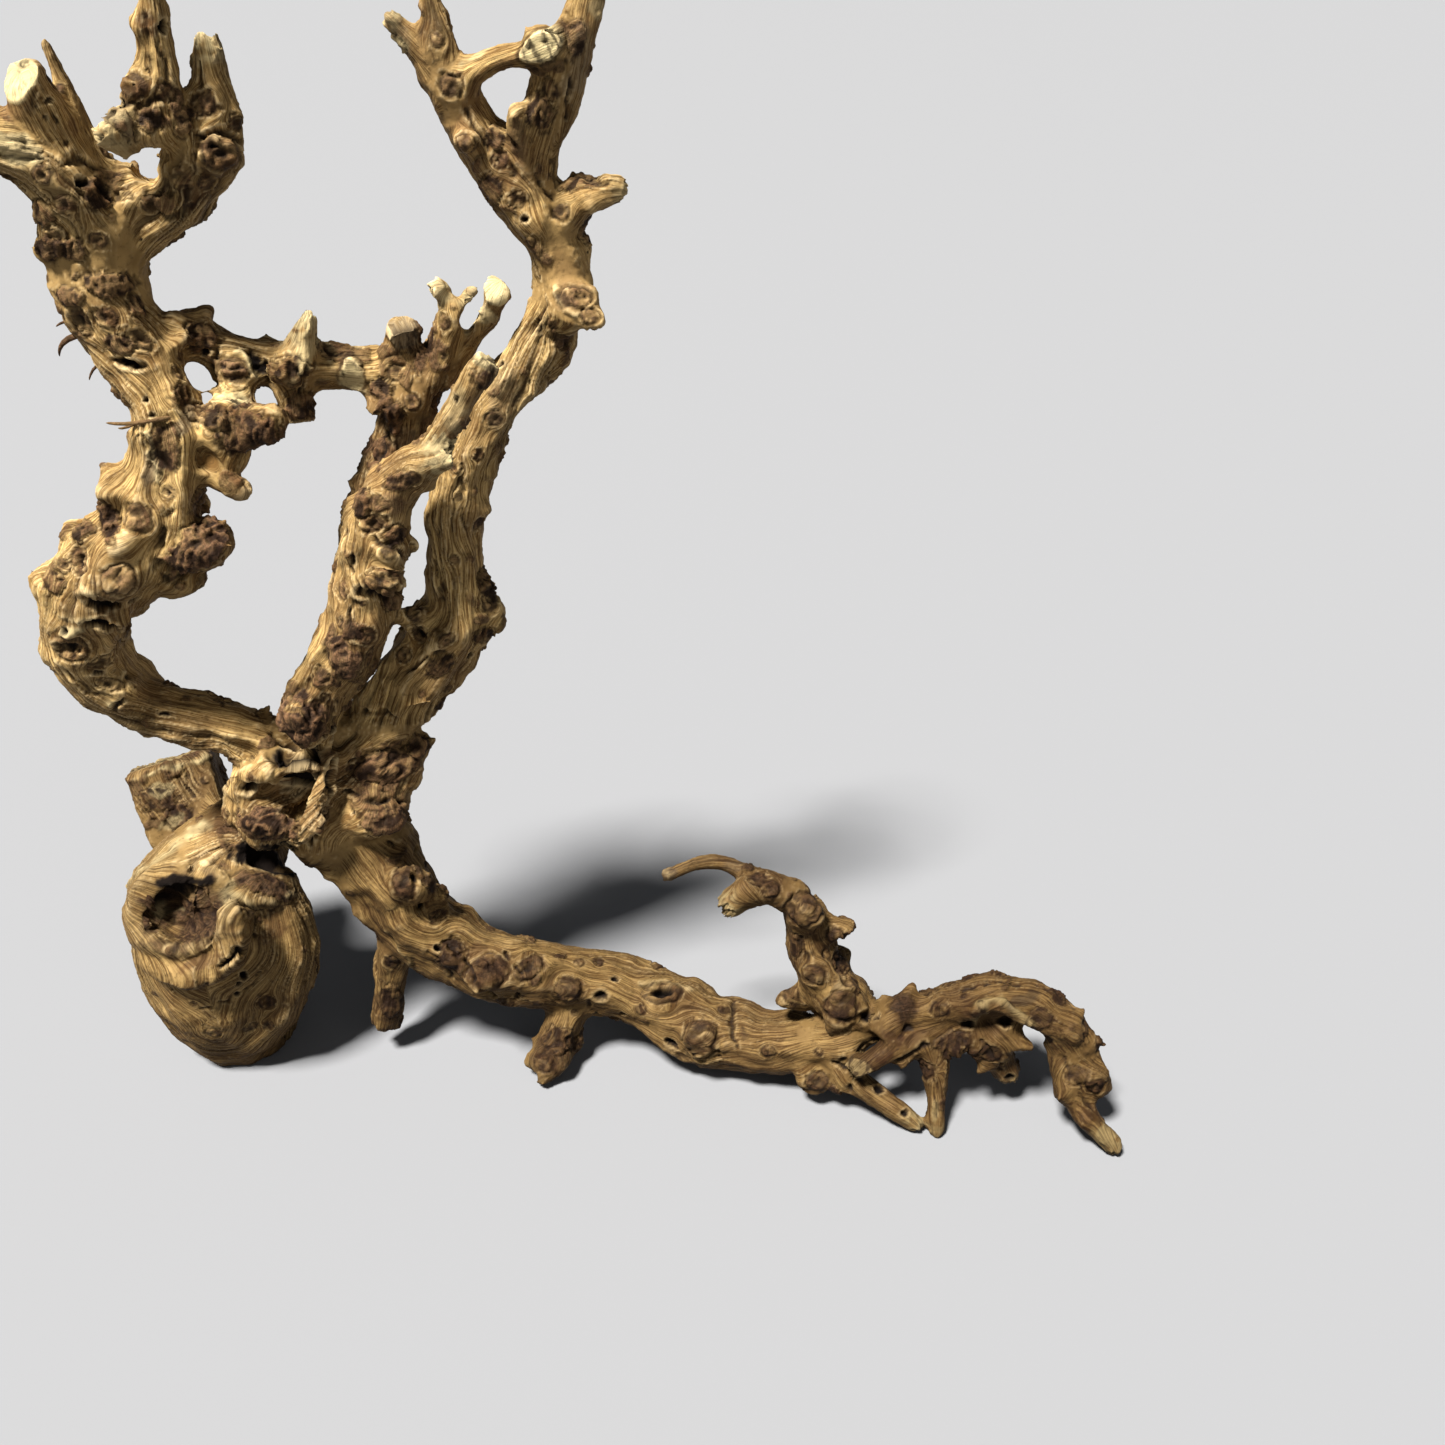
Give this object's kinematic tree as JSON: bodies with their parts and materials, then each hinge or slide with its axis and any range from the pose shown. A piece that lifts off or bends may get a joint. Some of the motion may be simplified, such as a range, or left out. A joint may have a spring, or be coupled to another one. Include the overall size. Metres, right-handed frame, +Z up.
{
  "type": "coral wood aquarium driftwood root",
  "caption": "Branching knotty driftwood root that stands on its burl and root tips, as a hardscape centrepiece for an aquarium.",
  "frame": {"origin": "on the ground under the middle of the wood's box", "axes": "+Z up, +X to the right along the low limb, +Y away from the side that the picture shows"},
  "size_m": [0.348, 0.1115, 0.3516],
  "materials": {
    "ochre_wood": "dry, matt, flowing grain",
    "brown_wood": "dry, matt, knotty, with bark patches",
    "sawn_wood": "rough old saw cut, weathered"
  },
  "bodies": {
    "root": {"knotted_hub": "brown_wood", "root_burl": "ochre_wood", "sawn_stub": "sawn_wood", "low_limb": "ochre_wood", "left_limb": "ochre_wood", "middle_limb": "brown_wood", "right_limb": "ochre_wood", "rear_stem": "brown_wood", "bridge_limb": "brown_wood", "left_crown": "ochre_wood", "crown_fork": "brown_wood", "right_crown": "ochre_wood", "hook_branch": "brown_wood", "foot_spray": "ochre_wood"}
  },
  "joints": []
}
